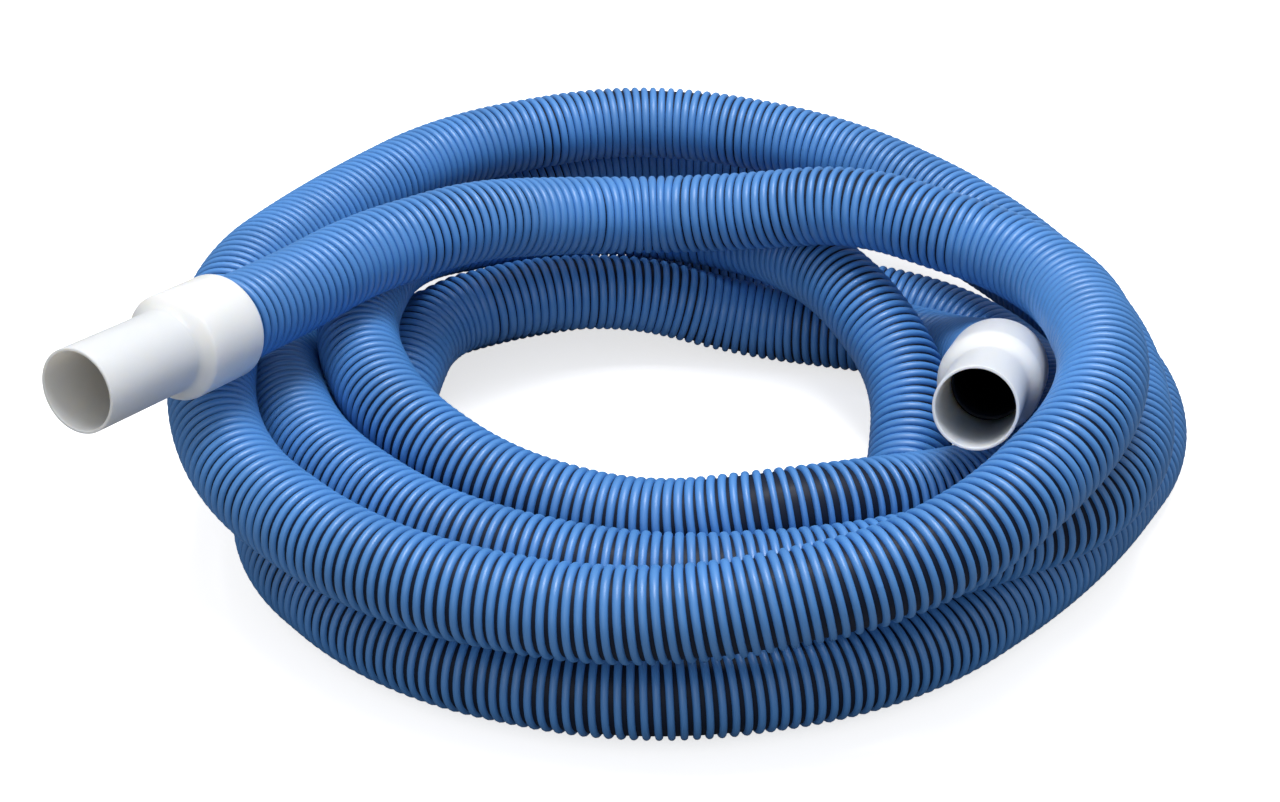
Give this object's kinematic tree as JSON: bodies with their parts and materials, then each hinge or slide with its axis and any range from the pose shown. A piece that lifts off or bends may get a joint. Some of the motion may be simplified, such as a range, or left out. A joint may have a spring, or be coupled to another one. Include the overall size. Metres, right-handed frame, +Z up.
{
  "type": "swimming pool vacuum hose",
  "caption": "Flexible spiral-ribbed suction hose lying in a loose coil, with a plain push-on cuff on one end and a swivel cuff on the other.",
  "frame": {"origin": "centre of the footprint of the coiled hose, on the floor it lies on", "axes": "+X to the right, +Y away from the two cuff mouths to the back of the coil, +Z up"},
  "size_m": [0.5863, 0.5792, 0.1814],
  "materials": {
    "black_web": "matt",
    "blue_rib": "satin",
    "white_cuff": "satin",
    "white_inner": "satin",
    "seal_rubber": "matt"
  },
  "bodies": {
    "hose": {"hose_web_turn_1": "black_web", "hose_web_turn_2": "black_web", "hose_web_turn_3": "black_web", "hose_web_turn_4": "black_web", "hose_web_turn_5": "black_web", "hose_web_turn_6": "black_web", "hose_rib_turn_1": "blue_rib", "hose_rib_turn_2": "blue_rib", "hose_rib_turn_3": "blue_rib", "hose_rib_turn_4": "blue_rib", "hose_rib_turn_5": "blue_rib", "hose_rib_turn_6": "blue_rib", "fixed_cuff": "white_cuff", "swivel_threaded_sleeve": "white_inner", "swivel_seal": "seal_rubber"},
    "swivel_cuff": {"swivel_cuff_body": "white_cuff", "swivel_retaining_ring": "white_inner"}
  },
  "joints": [
    {"name": "swivel", "type": "hinge", "parent": "hose", "child": "swivel_cuff", "pos_m": [0.14288, -0.16994, 0.13], "axis": [-0.2501, -0.899, 0.3596], "continuous": true}
  ]
}
